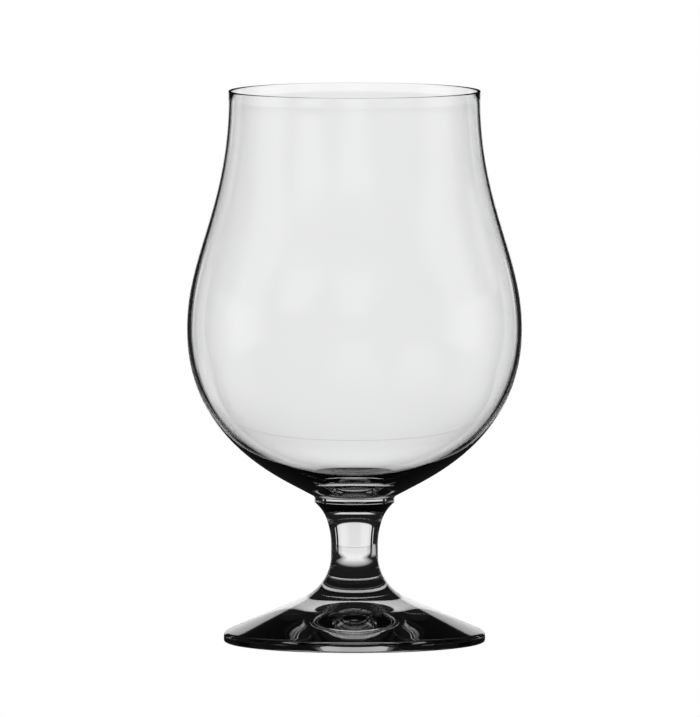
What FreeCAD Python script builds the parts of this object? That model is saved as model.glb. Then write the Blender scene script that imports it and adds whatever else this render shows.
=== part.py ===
import FreeCAD, Part
import math
import os

# A stemmed beer glass: a tulip bowl, a short solid stem with a collar under the bowl, and a conical foot.
# It is one piece of clear glass, turned about the Z axis, and its foot stands on z = 0.
# Lengths are in millimetres and angles in degrees.

# Foot
foot_radius = 36.7
heel_radius = 0.55         # rounding between the edge and the resting ring
edge_height = 1.5          # where the edge of the foot stops being upright
edge_rounding = 1.6        # between the upright edge and the cone
foot_slope = 23.7          # rise of the cone from the level
ring_width = 3.6           # flat ring that touches the table
hollow_depth = 4.7         # of the underside, at the middle
crown_reach = 4.0          # where the hollow's level top and its even fall to the ring would meet
crown_fullness = 1.6       # how closely the curve between them follows the two

# Stem, from the foot up to the collar
foot_fillet = 13.5         # radius that runs the cone into the stem
stem_radius = 6.57
stem_straight = 2.6        # length with the same radius all along
waist_sweep = 21.9         # radius of the slow flare above the straight length
waist_turn = 18.8          # how far that flare leans out
neck_sweep = 10.9          # radius of the quick flare below the collar
collar_slope = 45.0        # lean of the flare where it reaches the collar
collar_radius = 11.3
collar_band = 1.5          # height of the collar's upright face
collar_rounding = 0.45     # of the collar's lower edge, and of the crease above it

# Bowl, with heights counted from the top of the collar
base_slope = 27.9          # rise of the bowl's base from the level
base_reach = 18.1          # radius where the straight base turns into the belly
belly_fullness = 1.03      # weight of the belly's curve, fuller as it grows
belly_radius = 47.1
belly_rise = 47.2
rim_radius = 35.4
bowl_height = 114.11
throat_length = 32.6       # how far down the rim's upright direction is held
belly_wall = 1.1
rim_wall = 0.8
bowl_floor = 3.1           # glass between the top of the collar and the inside of the bowl
floor_reach = 20.0         # how far the inside holds its level around the middle
belly_drop = 29.5          # how far down the inside holds the belly's upright direction


def point(radius, height):
    return FreeCAD.Vector(radius, 0, height)


def line(start, end):
    return Part.LineSegment(start, end).toShape()


def arc(centre, radius, start, end):
    """An arc of the outline, between two angles counted from the outward direction."""
    ends = []
    for angle in (start, (start + end) / 2, end):
        turn = math.radians(angle)
        ends.append(centre + point(radius * math.cos(turn), radius * math.sin(turn)))
    return Part.Arc(*ends).toShape()


def conic(start, corner, end, weight):
    """A curve from start to end that leaves and arrives along the lines to the corner."""
    curve = Part.BSplineCurve()
    curve.buildFromPolesMultsKnots([start, corner, end], [3, 3], [0, 1], False, 2, [1, weight, 1])
    return curve.toShape()


def sweep(start, start_hold, end_hold, end):
    """A curve that leaves start along the first hold and reaches end along the last one."""
    curve = Part.BezierCurve()
    curve.setPoles([start, start + start_hold, end - end_hold, end])
    return curve.toShape()


def rounded_corner(before, corner, after, radius):
    """An arc that takes the place of a corner between two lines, with its two ends."""
    arriving = (corner - before).normalize()
    leaving = (after - corner).normalize()
    half_turn = arriving.getAngle(leaving) / 2
    setback = radius * math.tan(half_turn)
    inward = (leaving - arriving).normalize()
    middle = corner + inward * (radius / math.cos(half_turn) - radius)
    start = corner - arriving * setback
    end = corner + leaving * setback
    return start, Part.Arc(start, middle, end).toShape(), end


def underside():
    """The hollow of the foot, from the middle outwards, and the resting ring."""
    ring_inner = point(foot_radius - heel_radius - ring_width, 0)
    crown = point(0, hollow_depth)
    hollow = conic(crown, crown + point(crown_reach, 0), ring_inner, crown_fullness)
    return [hollow, line(ring_inner, ring_inner + point(ring_width, 0))]


def foot_top():
    """The edge of the foot and its cone, up to where the cone meets the fillet of the stem."""
    heel = arc(point(foot_radius - heel_radius, heel_radius), heel_radius, -90, 0)
    edge = line(point(foot_radius, heel_radius), point(foot_radius, edge_height))
    shoulder = arc(point(foot_radius - edge_rounding, edge_height), edge_rounding, 0, 90 - foot_slope)
    slope = math.radians(foot_slope)
    cone_start = point(foot_radius - edge_rounding * (1 - math.sin(slope)),
                       edge_height + edge_rounding * math.cos(slope))
    cone_end_radius = stem_radius + foot_fillet * (1 - math.sin(slope))
    cone_end = point(cone_end_radius, cone_start.z + (cone_start.x - cone_end_radius) * math.tan(slope))
    return [heel, edge, shoulder, line(cone_start, cone_end)], cone_end


def stem(cone_end):
    """The fillet, the straight length and the two flares, and where they end below the collar."""
    fillet_centre = point(stem_radius + foot_fillet,
                          cone_end.z + foot_fillet * math.cos(math.radians(foot_slope)))
    fillet = arc(fillet_centre, foot_fillet, 270 - foot_slope, 180)
    straight_top = fillet_centre.z + stem_straight
    shaft = line(point(stem_radius, fillet_centre.z), point(stem_radius, straight_top))

    sweep_centre = point(stem_radius + waist_sweep, straight_top)
    slow_flare = arc(sweep_centre, waist_sweep, 180, 180 - waist_turn)
    turn = math.radians(waist_turn)
    lean = math.radians(collar_slope)
    inward = point(math.cos(turn), -math.sin(turn))
    neck_centre = sweep_centre + inward * (neck_sweep - waist_sweep)
    quick_flare = arc(neck_centre, neck_sweep, 180 - waist_turn, 180 - collar_slope)

    flare_end = neck_centre + point(-neck_sweep * math.cos(lean), neck_sweep * math.sin(lean))
    return [fillet, shaft, slow_flare, quick_flare], flare_end


def collar(flare_end):
    """The collar and the crease where the bowl rises from it, where they end, and the collar's top."""
    lean = math.radians(collar_slope)
    lower_edge = point(collar_radius, flare_end.z + (collar_radius - flare_end.x) / math.tan(lean))
    top = lower_edge + point(0, collar_band)
    up_the_base = top + point(1, math.tan(math.radians(base_slope)))
    edge_start, edge, edge_end = rounded_corner(flare_end, lower_edge, top, collar_rounding)
    crease_start, crease, crease_end = rounded_corner(lower_edge, top, up_the_base, collar_rounding)
    return [line(flare_end, edge_start), edge, line(edge_end, crease_start), crease], crease_end, top.z


def shoulder_length():
    """How long the belly stays upright above its widest place, so that its bend doesn't jump there."""
    below = belly_rise - (belly_radius - collar_radius) * math.tan(math.radians(base_slope))
    bend = (belly_radius - base_reach) / (2 * (below * belly_fullness) ** 2)
    return math.sqrt(2 * (belly_radius - rim_radius) / (3 * bend))


def bowl(base_start, collar_top):
    """The outside of the bowl, the rounded rim and the inside down to the middle."""
    slope = math.tan(math.radians(base_slope))
    base_end = point(base_reach, collar_top + (base_reach - collar_radius) * slope)
    base_corner = point(belly_radius, collar_top + (belly_radius - collar_radius) * slope)
    belly = point(belly_radius, collar_top + belly_rise)
    lip_radius = rim_wall / 2
    lip = point(rim_radius - lip_radius, collar_top + bowl_height - lip_radius)
    rim_outside = lip + point(lip_radius, 0)
    rim_inside = lip - point(lip_radius, 0)
    belly_inside = belly - point(belly_wall, 0)
    floor_middle = point(0, collar_top + bowl_floor)
    shoulder = point(0, shoulder_length())
    throat = point(0, throat_length)

    outside = [line(base_start, base_end), conic(base_end, base_corner, belly, belly_fullness),
               sweep(belly, shoulder, throat, rim_outside)]
    inside = [sweep(belly_inside, shoulder, throat, rim_inside),
              sweep(floor_middle, point(floor_reach, 0), point(0, belly_drop), belly_inside)]
    return outside + [arc(lip, lip_radius, 0, 180)] + inside, floor_middle


def beer_glass():
    foot, cone_end = foot_top()
    shaft, flare_end = stem(cone_end)
    ridge, base_start, collar_top = collar(flare_end)
    walls, floor_middle = bowl(base_start, collar_top)
    axis = line(floor_middle, point(0, hollow_depth))
    outline = Part.Wire(underside() + foot + shaft + ridge + walls + [axis])
    return Part.Face(outline).revolve(FreeCAD.Vector(0, 0, 0), FreeCAD.Vector(0, 0, 1), 360)


os.makedirs("parts", exist_ok=True)
glass = beer_glass()
glass.exportStep("parts/beer_glass.step")
box = glass.BoundBox
print("height", round(box.ZMax, 2), "width", round(box.XLength, 2), "glass, ml", round(glass.Volume / 1000, 1))
print("valid", glass.isValid(), "solids", len(glass.Solids))
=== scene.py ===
import math
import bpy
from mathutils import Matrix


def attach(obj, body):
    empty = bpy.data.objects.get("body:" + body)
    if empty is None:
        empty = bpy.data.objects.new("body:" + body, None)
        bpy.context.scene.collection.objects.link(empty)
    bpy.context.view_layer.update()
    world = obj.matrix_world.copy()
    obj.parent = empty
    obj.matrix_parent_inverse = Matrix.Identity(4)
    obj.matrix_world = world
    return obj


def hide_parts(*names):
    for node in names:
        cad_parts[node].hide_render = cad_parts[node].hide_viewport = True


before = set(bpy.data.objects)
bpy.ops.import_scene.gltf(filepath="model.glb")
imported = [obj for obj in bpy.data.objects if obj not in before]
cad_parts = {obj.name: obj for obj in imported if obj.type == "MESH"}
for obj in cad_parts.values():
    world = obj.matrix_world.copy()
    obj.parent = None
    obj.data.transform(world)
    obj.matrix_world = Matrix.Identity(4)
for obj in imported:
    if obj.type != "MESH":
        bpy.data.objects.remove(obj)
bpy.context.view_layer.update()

from types import SimpleNamespace
import bpy
from mathutils import Vector

# Sizes of the glass in millimetres and degrees, from the foot up
glass = {
    "footRadius": 36.7, "heelRadius": 0.55, "edgeHeight": 1.5, "edgeRounding": 1.6,
    "footSlope": 23.7, "footFillet": 13.5,    # the cone, and its run into the stem
    "ringWidth": 3.6, "hollowDepth": 4.7, "crownReach": 4.0, "crownFullness": 1.6,    # the underside
    "stemRadius": 6.57, "stemStraight": 2.6,
    "waistSweep": 21.9, "waistTurn": 18.8, "neckSweep": 10.9,    # the slow and the quick flare of the stem
    "collarSlope": 45.0, "collarRadius": 11.3, "collarBand": 1.5, "collarRounding": 0.45,
    "baseSlope": 27.9, "baseReach": 18.1,    # the straight base of the bowl
    "bellyFullness": 1.03, "bellyRadius": 47.1, "bellyRise": 47.2,
    "rimRadius": 35.4, "bowlHeight": 114.11, "throatLength": 32.6,
    "bellyWall": 1.1, "rimWall": 0.8,
    "bowlFloor": 3.1, "floorReach": 20.0, "bellyDrop": 29.5,    # the inside, from its middle to the belly
    "stepsAround": 256,    # flat faces in one turn
}


def straight(start, end, count):
    return [(start[0] + (end[0] - start[0]) * step / count, start[1] + (end[1] - start[1]) * step / count)
            for step in range(1, count + 1)]


def arc(centre, radius, first, last, count):
    turns = [math.radians(first + (last - first) * step / count) for step in range(count + 1)]
    return [(centre[0] + radius * math.cos(turn), centre[1] + radius * math.sin(turn)) for turn in turns]


def weighted(weights, corners):
    return tuple(sum(weight * corner[axis] for weight, corner in zip(weights, corners)) / sum(weights)
                 for axis in (0, 1))


def conic(start, corner, end, fullness, count):
    points = []
    for step in range(1, count + 1):
        share = step / count
        weights = (1 - share) ** 2, 2 * fullness * share * (1 - share), share ** 2
        points.append(weighted(weights, (start, corner, end)))
    return points


def cubic(start, first, second, end, count):
    points = []
    for step in range(1, count + 1):
        share = step / count
        weights = (1 - share) ** 3, 3 * share * (1 - share) ** 2, 3 * share ** 2 * (1 - share), share ** 3
        points.append(weighted(weights, (start, first, second, end)))
    return points


# Radius and height along the outline, from the middle of the underside round to the bowl's floor
def glassOutline(size):
    ringInner = size.footRadius - size.heelRadius - size.ringWidth
    crown = (0, size.hollowDepth)
    outline = [crown]
    outline += conic(crown, (size.crownReach, size.hollowDepth), (ringInner, 0), size.crownFullness, 60)
    outline += straight(outline[-1], (size.footRadius - size.heelRadius, 0), 3)
    outline += arc((size.footRadius - size.heelRadius, size.heelRadius), size.heelRadius, -90, 0, 5)[1:]

    slope = math.radians(size.footSlope)
    shoulder = (size.footRadius - size.edgeRounding, size.edgeHeight)
    outline += arc(shoulder, size.edgeRounding, 0, 90 - size.footSlope, 9)
    coneTop = size.stemRadius + size.footFillet * (1 - math.sin(slope))
    coneRise = (outline[-1][0] - coneTop) * math.tan(slope)
    outline += straight(outline[-1], (coneTop, outline[-1][1] + coneRise), 14)

    filletMiddle = (size.stemRadius + size.footFillet, outline[-1][1] + size.footFillet * math.cos(slope))
    outline += arc(filletMiddle, size.footFillet, 270 - size.footSlope, 180, 20)[1:]
    outline += straight(outline[-1], (size.stemRadius, filletMiddle[1] + size.stemStraight), 2)

    turn = math.radians(size.waistTurn)
    lean = math.radians(size.collarSlope)
    sweepMiddle = (size.stemRadius + size.waistSweep, outline[-1][1])
    outline += arc(sweepMiddle, size.waistSweep, 180, 180 - size.waistTurn, 9)[1:]
    drop = size.neckSweep - size.waistSweep
    neckMiddle = (sweepMiddle[0] + drop * math.cos(turn), sweepMiddle[1] - drop * math.sin(turn))
    outline += arc(neckMiddle, size.neckSweep, 180 - size.waistTurn, 180 - size.collarSlope, 9)[1:]

    collarFoot = outline[-1][1] + (size.collarRadius - outline[-1][0]) / math.tan(lean)
    collarTop = collarFoot + size.collarBand
    rounding = size.collarRounding
    edgeMiddle = (size.collarRadius - rounding, collarFoot + rounding * math.tan(lean / 2))
    outline += arc(edgeMiddle, rounding, -size.collarSlope, 0, 5)
    creaseDrop = rounding * math.tan(math.radians(90 - size.baseSlope) / 2)
    creaseMiddle = (size.collarRadius + rounding, collarTop - creaseDrop)
    outline += arc(creaseMiddle, rounding, 180, 90 + size.baseSlope, 6)

    climb = math.tan(math.radians(size.baseSlope))
    baseEnd = (size.baseReach, collarTop + (size.baseReach - size.collarRadius) * climb)
    corner = (size.bellyRadius, collarTop + (size.bellyRadius - size.collarRadius) * climb)
    belly = (size.bellyRadius, collarTop + size.bellyRise)
    outline += straight(outline[-1], baseEnd, 5)
    outline += conic(baseEnd, corner, belly, size.bellyFullness, 40)

    # How long the belly stays upright above its widest place, so that its bend doesn't jump there
    bend = (size.bellyRadius - size.baseReach) / (2 * ((belly[1] - corner[1]) * size.bellyFullness) ** 2)
    hold = math.sqrt(2 * (size.bellyRadius - size.rimRadius) / (3 * bend))
    throat = size.throatLength
    lip = (size.rimRadius - size.rimWall / 2, collarTop + size.bowlHeight - size.rimWall / 2)
    rimOut = (size.rimRadius, lip[1])
    rimIn = (size.rimRadius - size.rimWall, lip[1])
    outline += cubic(belly, (belly[0], belly[1] + hold), (rimOut[0], rimOut[1] - throat), rimOut, 36)
    outline += arc(lip, size.rimWall / 2, 0, 180, 10)[1:]
    inside = (belly[0] - size.bellyWall, belly[1])
    outline += cubic(rimIn, (rimIn[0], rimIn[1] - throat), (inside[0], inside[1] + hold), inside, 36)
    insideHold = (inside[0], inside[1] - size.bellyDrop)
    middle = (0, collarTop + size.bowlFloor)
    outline += cubic(inside, insideHold, (size.floorReach, middle[1]), middle, 56)
    return [Vector((radius / 1000, 0, height / 1000)) for radius, height in outline]


# A body turned about Z from an outline drawn point by point
def turnedMesh(name, outline, steps):
    bpy.ops.object.select_all(action="DESELECT")
    bpy.ops.mesh.primitive_plane_add(size=0.001, location=(0, 0, 0))
    body = bpy.context.object
    body.name = name
    bpy.ops.object.mode_set(mode="EDIT")
    bpy.ops.mesh.select_all(action="SELECT")
    bpy.ops.mesh.merge(type="CENTER")    # one point, which is drawn out along the outline
    bpy.ops.transform.translate(value=outline[0])
    for start, end in zip(outline, outline[1:]):
        bpy.ops.mesh.extrude_region_move(TRANSFORM_OT_translate={"value": end - start})
    bpy.ops.mesh.select_all(action="SELECT")
    bpy.ops.mesh.spin(steps=steps, angle=2 * math.pi, center=(0, 0, 0), axis=(0, 0, 1))
    bpy.ops.mesh.select_all(action="SELECT")
    bpy.ops.mesh.remove_doubles(threshold=0.000002)
    bpy.ops.mesh.normals_make_consistent(inside=False)
    bpy.ops.object.mode_set(mode="OBJECT")
    bpy.ops.object.shade_smooth_by_angle(angle=math.radians(30))
    return body


beerGlass = turnedMesh("beerGlass", glassOutline(SimpleNamespace(**glass)), glass["stepsAround"])
beerGlass.data.name = "beerGlass"
print("glass", len(beerGlass.data.vertices), "vertices", len(beerGlass.data.polygons), "faces")


def newMaterial(name):
    material = bpy.data.materials.new(name)
    material.use_nodes = True
    nodes = material.node_tree.nodes
    nodes.clear()
    return material, nodes, material.node_tree.links


def finishSurface(nodes, links, shader):
    output = nodes.new("ShaderNodeOutputMaterial")
    links.new(shader, output.inputs["Surface"])
    return output


def calculate(nodes, links, operation, *values):
    node = nodes.new("ShaderNodeMath")
    node.operation = operation
    for socket, value in zip(node.inputs, values):
        if isinstance(value, (int, float)):
            socket.default_value = value
        else:
            links.new(value, socket)
    return node.outputs[0]


# Clear colourless glass, its slight waves and the rubbed ring that the foot stands on
finish = {
    "colour": (0.97, 0.972, 0.972, 1), "bending": 1.5,
    "thickColour": (0.5, 0.5, 0.5, 1), "thickDensity": 34,    # a thick piece takes a little of the light
    "waveScale": 26, "waveStretch": (1, 1, 0.5), "waveStrength": 0.015, "waveHeight": 0.0002,
    "ringHeight": 0.00002, "ringGrain": 900, "ringRoughness": 0.22,
}


# Very slight waves of pressed and blown glass, along the height more than around it
def wavesGroup():
    group = bpy.data.node_groups.new("glassWaves", "ShaderNodeTree")
    group.interface.new_socket("Normal", in_out="OUTPUT", socket_type="NodeSocketVector")
    nodes, links = group.nodes, group.links
    place = nodes.new("ShaderNodeTexCoord")
    stretch = nodes.new("ShaderNodeMapping")
    stretch.inputs["Scale"].default_value = finish["waveStretch"]
    noise = nodes.new("ShaderNodeTexNoise")
    noise.inputs["Scale"].default_value = finish["waveScale"]
    noise.inputs["Detail"].default_value = 1
    bump = nodes.new("ShaderNodeBump")
    bump.inputs["Strength"].default_value = finish["waveStrength"]
    bump.inputs["Distance"].default_value = finish["waveHeight"]
    output = nodes.new("NodeGroupOutput")
    links.new(place.outputs["Object"], stretch.inputs["Vector"])
    links.new(stretch.outputs["Vector"], noise.inputs["Vector"])
    links.new(noise.outputs["Fac"], bump.inputs["Height"])
    links.new(bump.outputs["Normal"], output.inputs[0])
    return group


# The ring that the foot stands on is rubbed dull; all the rest is fire-polished
def rubbedRingGroup():
    group = bpy.data.node_groups.new("rubbedRing", "ShaderNodeTree")
    group.interface.new_socket("Roughness", in_out="OUTPUT", socket_type="NodeSocketFloat")
    nodes, links = group.nodes, group.links
    place = nodes.new("ShaderNodeTexCoord")
    parts = nodes.new("ShaderNodeSeparateXYZ")
    grain = nodes.new("ShaderNodeTexNoise")
    grain.inputs["Scale"].default_value = finish["ringGrain"]
    output = nodes.new("NodeGroupOutput")
    links.new(place.outputs["Object"], parts.inputs[0])
    links.new(place.outputs["Object"], grain.inputs["Vector"])
    onRing = calculate(nodes, links, "LESS_THAN", parts.outputs["Z"], finish["ringHeight"])
    dull = calculate(nodes, links, "MULTIPLY", grain.outputs["Fac"], onRing)
    links.new(calculate(nodes, links, "MULTIPLY", dull, finish["ringRoughness"]), output.inputs[0])
    return group


def clearGlass():
    material, nodes, links = newMaterial("clearGlass")
    shader = nodes.new("ShaderNodeBsdfPrincipled")
    shader.inputs["Base Color"].default_value = finish["colour"]
    shader.inputs["IOR"].default_value = finish["bending"]
    shader.inputs["Transmission Weight"].default_value = 1.0
    for group, socket in ((rubbedRingGroup(), "Roughness"), (wavesGroup(), "Normal")):
        node = nodes.new("ShaderNodeGroup")
        node.node_tree = group
        links.new(node.outputs[0], shader.inputs[socket])
    thickness = nodes.new("ShaderNodeVolumeAbsorption")
    thickness.inputs["Color"].default_value = finish["thickColour"]
    thickness.inputs["Density"].default_value = finish["thickDensity"]
    output = finishSurface(nodes, links, shader.outputs[0])
    links.new(thickness.outputs[0], output.inputs["Volume"])
    return material


beerGlass.data.materials.append(clearGlass())
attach(beerGlass, "root")
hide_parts("beer_glass")
print("glass finished")

# The room: white to the eye, and dark to the glass but for bright cards and bright sweeps of the floor.
# Each list runs along a length in metres, as pairs of (place, number).
room = {
    "dark": 0.018,
    "cardStrength": 1.03, "cardFar": 0.32, "cardWide": 0.52, "cardHigh": 0.20,
    "cardAcross": [(0, 1), (0.034, 1), (0.08, 1.12), (0.129, 1.12), (0.163, 1), (0.2, 0.9), (0.26, 0.8)],
    "cardRise": [(0, 1), (0.127, 1), (0.131, 0.9), (0.138, 0.86), (0.143, 0.1), (0.16, 0), (0.2, 0)],
    "sideStrength": 0.7, "sideWide": 0.32, "sideAcross": [(0, 1), (0.06, 1), (0.15, 0), (0.2, 0)],
    "flagEdge": (0.066, 0.115), "flagEnd": (0.253, 0.338), "flagHigh": 0.4,
    "floorSize": 6, "floorLevel": -0.0002,
    "sweepEdge": [(0, 1), (0.55, 1), (1, 0.5), (1.4, 0), (3, 0)],    # by shares of a sweep's half width
}

# Bright sweeps of the floor, turned from the back towards the right; widths are counted from their middle
besideSweep = {
    "strength": 0.7,
    "along": [(0, 0), (0.06, 0), (0.14, 1), (0.32, 1), (0.321, 0), (0.6, 0)],
    "width": [(0, 0.03), (0.32, 0.09)],
}
sweeps = [
    {"turn": 0, "strength": 1.03,
     "along": [(0, 0), (0.045, 0), (0.06, 0.5), (0.1, 1.05), (0.15, 1.18), (0.2, 1.14), (0.26, 1.04),
               (0.32, 1), (0.321, 0), (0.6, 0)],
     "width": [(0, 0.03), (0.045, 0.03), (0.07, 0.037), (0.1, 0.039), (0.13, 0.044), (0.15, 0.052),
               (0.18, 0.075), (0.2, 0.10), (0.24, 0.16), (0.32, 0.2)]},
    {"turn": -90, **besideSweep},
    {"turn": 90, **besideSweep},
    {"turn": 180, "strength": 0.55,
     "along": [(0, 0), (0.10, 0), (0.18, 1), (0.9, 1), (1.1, 0)],
     "width": [(0, 0.04), (0.9, 0.15)]},
    {"turn": -45, "strength": 0.65,
     "along": [(0, 0), (0.11, 0), (0.2, 1), (0.36, 1), (0.5, 0)],
     "width": [(0, 0.02), (0.34, 0.05)]},
    {"turn": 135, "strength": 0.65,
     "along": [(0, 0), (0.10, 0), (0.18, 1), (0.6, 1), (0.8, 0)],
     "width": [(0, 0.04), (0.6, 0.11)]},
]


# The number that one of the room's lists gives at a length
def follow(nodes, links, length, stops):
    place = calculate(nodes, links, "DIVIDE", length, stops[-1][0])
    ramp = nodes.new("ShaderNodeValToRGB")
    elements = ramp.color_ramp.elements
    elements[0].color = (stops[0][1],) * 3 + (1,)
    elements[1].color = (stops[-1][1],) * 3 + (1,)
    for reach, number in stops[1:-1]:
        elements.new(reach / stops[-1][0]).color = (number,) * 3 + (1,)
    links.new(place, ramp.inputs[0])
    return ramp.outputs[0]


def ownPlace(nodes, links):
    place = nodes.new("ShaderNodeTexCoord")
    parts = nodes.new("ShaderNodeSeparateXYZ")
    links.new(place.outputs["Object"], parts.inputs[0])
    return parts.outputs


def emission(nodes, links, strength):
    node = nodes.new("ShaderNodeEmission")
    if isinstance(strength, (int, float)):
        node.inputs["Strength"].default_value = strength
    else:
        links.new(strength, node.inputs["Strength"])
    return node.outputs[0]


# A panel of the room that stands upright, turned about Z and hidden from the camera
def standingPanel(name, middle, width, height, turn, material):
    upright = (math.radians(90), 0, math.radians(turn))
    bpy.ops.object.select_all(action="DESELECT")
    bpy.ops.mesh.primitive_plane_add(size=1, location=middle, rotation=upright)
    panel = bpy.context.object
    panel.name = name
    panel.scale = (width, height, 1)
    bpy.ops.object.transform_apply(location=False, rotation=False, scale=True)
    panel.data.materials.append(material)
    panel.visible_camera = False
    panel.visible_shadow = False


# A card whose light follows the lists across it and up it; a side card is seen only through glass
def cardMaterial(name, strength, across, throughOnly):
    material, nodes, links = newMaterial(name)
    place = ownPlace(nodes, links)
    aside = calculate(nodes, links, "ABSOLUTE", place["X"])
    rise = calculate(nodes, links, "ADD", place["Y"], room["cardHigh"] / 2)
    light = calculate(nodes, links, "MULTIPLY", follow(nodes, links, aside, across),
                      follow(nodes, links, rise, room["cardRise"]))
    light = calculate(nodes, links, "MULTIPLY", light, strength)
    if throughOnly:
        path = nodes.new("ShaderNodeLightPath")
        light = calculate(nodes, links, "MULTIPLY", light, path.outputs["Is Transmission Ray"])
    light = calculate(nodes, links, "MAXIMUM", light, room["dark"])
    finishSurface(nodes, links, emission(nodes, links, light))
    return material


# Black on the side that faces the glass, and nothing from behind
def blackMaterial():
    material, nodes, links = newMaterial("blackFlag")
    side = nodes.new("ShaderNodeNewGeometry")
    clear = nodes.new("ShaderNodeBsdfTransparent")
    either = nodes.new("ShaderNodeMixShader")
    links.new(side.outputs["Backfacing"], either.inputs[0])
    links.new(emission(nodes, links, room["dark"]), either.inputs[1])
    links.new(clear.outputs[0], either.inputs[2])
    finishSurface(nodes, links, either.outputs[0])
    return material


# White to the eye; through the glass, dark with bright sweeps that run out from under it
def floorMaterial():
    material, nodes, links = newMaterial("whiteFloor")
    place = ownPlace(nodes, links)
    path = nodes.new("ShaderNodeLightPath")
    light = 0
    for sweep in sweeps:
        turn = math.radians(sweep["turn"])
        along = calculate(nodes, links, "ADD",
                          calculate(nodes, links, "MULTIPLY", place["X"], math.sin(turn)),
                          calculate(nodes, links, "MULTIPLY", place["Y"], math.cos(turn)))
        across = calculate(nodes, links, "SUBTRACT",
                           calculate(nodes, links, "MULTIPLY", place["X"], math.cos(turn)),
                           calculate(nodes, links, "MULTIPLY", place["Y"], math.sin(turn)))
        aside = calculate(nodes, links, "ABSOLUTE", across)
        share = calculate(nodes, links, "DIVIDE", aside, follow(nodes, links, along, sweep["width"]))
        inside = follow(nodes, links, share, room["sweepEdge"])
        glow = calculate(nodes, links, "MULTIPLY", follow(nodes, links, along, sweep["along"]), inside)
        glow = calculate(nodes, links, "MULTIPLY", glow, sweep["strength"])
        light = calculate(nodes, links, "MAXIMUM", light, glow)
    light = calculate(nodes, links, "MULTIPLY", light, path.outputs["Is Transmission Ray"])
    light = calculate(nodes, links, "MAXIMUM", light, room["dark"])
    seen = nodes.new("ShaderNodeMixShader")
    links.new(path.outputs["Is Camera Ray"], seen.inputs[0])
    links.new(emission(nodes, links, light), seen.inputs[1])
    links.new(emission(nodes, links, 1.0), seen.inputs[2])
    finishSurface(nodes, links, seen.outputs[0])
    return material


bpy.ops.object.select_all(action="DESELECT")
bpy.ops.mesh.primitive_plane_add(size=room["floorSize"], location=(0, 0, room["floorLevel"]))
floor = bpy.context.object
floor.name = "floor"
floor.data.materials.append(floorMaterial())

high = room["cardHigh"]
standingPanel("card", (0, room["cardFar"], high / 2), room["cardWide"], high, 0,
              cardMaterial("brightCard", room["cardStrength"], room["cardAcross"], False))

sideLight = cardMaterial("sideCard", room["sideStrength"], room["sideAcross"], True)
black = blackMaterial()
flagEdge, flagEnd = Vector(room["flagEdge"]), Vector(room["flagEnd"])
flagMiddle = (flagEdge + flagEnd) / 2
flagWide = (flagEnd - flagEdge).length
flagTurn = math.degrees(math.atan2(flagEnd.y - flagEdge.y, flagEnd.x - flagEdge.x))
for side, sign in (("right", 1), ("left", -1)):
    standingPanel(side + "Card", (sign * room["cardFar"], 0, high / 2), room["sideWide"], high, 90, sideLight)
    standingPanel(side + "Flag", (sign * flagMiddle.x, flagMiddle.y, room["flagHigh"] / 2),
                  flagWide, room["flagHigh"], sign * flagTurn, black)


# Beyond the room all is white to the eye and dark to the glass
def roomWorld():
    world = bpy.data.worlds.new("room")
    world.use_nodes = True
    nodes, links = world.node_tree.nodes, world.node_tree.links
    nodes.clear()
    path = nodes.new("ShaderNodeLightPath")
    seen = nodes.new("ShaderNodeMixShader")
    output = nodes.new("ShaderNodeOutputWorld")
    links.new(path.outputs["Is Camera Ray"], seen.inputs[0])
    for brightness, socket in ((room["dark"], seen.inputs[1]), (1, seen.inputs[2])):
        background = nodes.new("ShaderNodeBackground")
        background.inputs["Color"].default_value = (brightness, brightness, brightness, 1)
        links.new(background.outputs[0], socket)
    links.new(seen.outputs[0], output.inputs["Surface"])
    return world


bpy.context.scene.world = roomWorld()
print("room built")

# Camera: the glass seen from a little above its middle, through a very long lens, in metres and degrees
view = {
    "far": 5.1, "pitch": 4.447, "height": 0.0775,
    "aside": 0.00126, "lift": 0.00213,    # small shifts that frame the glass
    "lens": 912.6, "sensor": 36, "reach": 100,
}
pitch = math.radians(view["pitch"])
forward = Vector((0, math.cos(pitch), -math.sin(pitch)))
upward = Vector((0, math.sin(pitch), math.cos(pitch)))
cameraData = bpy.data.cameras.new("camera")
camera = bpy.data.objects.new("camera", cameraData)
bpy.context.scene.collection.objects.link(camera)
lookAt = Vector((-view["aside"], 0, view["height"]))
camera.location = lookAt - forward * view["far"] + upward * view["lift"]
camera.rotation_euler = (math.radians(90) - pitch, 0, 0)
cameraData.sensor_width = view["sensor"]
cameraData.lens = view["lens"]
cameraData.clip_end = view["reach"]
bpy.context.scene.camera = camera
print("camera set")

bpy.context.scene.view_settings.view_transform = "Standard"
